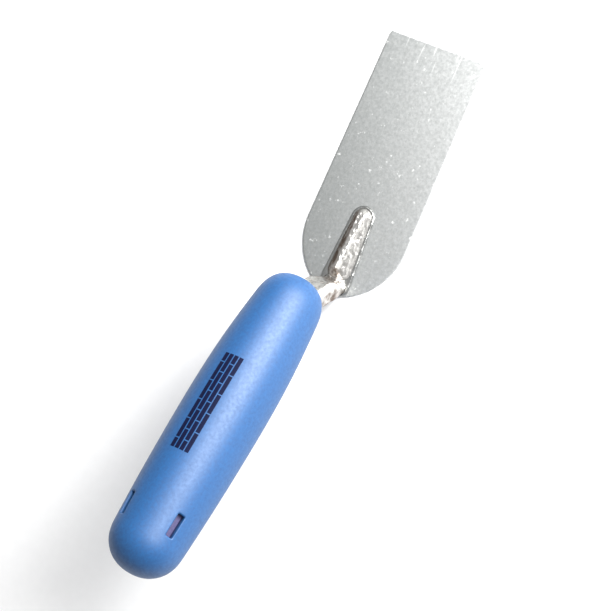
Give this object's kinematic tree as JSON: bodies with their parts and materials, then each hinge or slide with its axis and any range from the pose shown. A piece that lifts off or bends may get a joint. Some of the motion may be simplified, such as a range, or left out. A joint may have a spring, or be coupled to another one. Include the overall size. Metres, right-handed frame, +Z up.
{
  "type": "margin trowel",
  "caption": "Margin trowel with a narrow flat steel blade, a rounded heel, a welded forged gooseneck and a barrel-shaped blue moulded handle.",
  "frame": {"origin": "centre of the blade's flat underside, halfway from the heel to the front edge", "axes": "+X along the blade towards its square front edge, +Z up from the blade to the handle's side, +Y to the left looking towards the front edge"},
  "size_m": [0.2623, 0.0508, 0.1013],
  "materials": {
    "blade_steel": "matte rolled steel with fine mottling and scratches",
    "forged_steel": "lumpy forged steel, bright on the crests and brown in the hollows",
    "weld_steel": "rippled weld metal",
    "core_plastic": "matte",
    "grip_plastic": "satin, slightly soft"
  },
  "bodies": {
    "root": {"blade": "blade_steel", "shank": "forged_steel", "weld_bead": "weld_steel", "handle_core": "core_plastic", "handle_grip": "grip_plastic"}
  },
  "joints": []
}
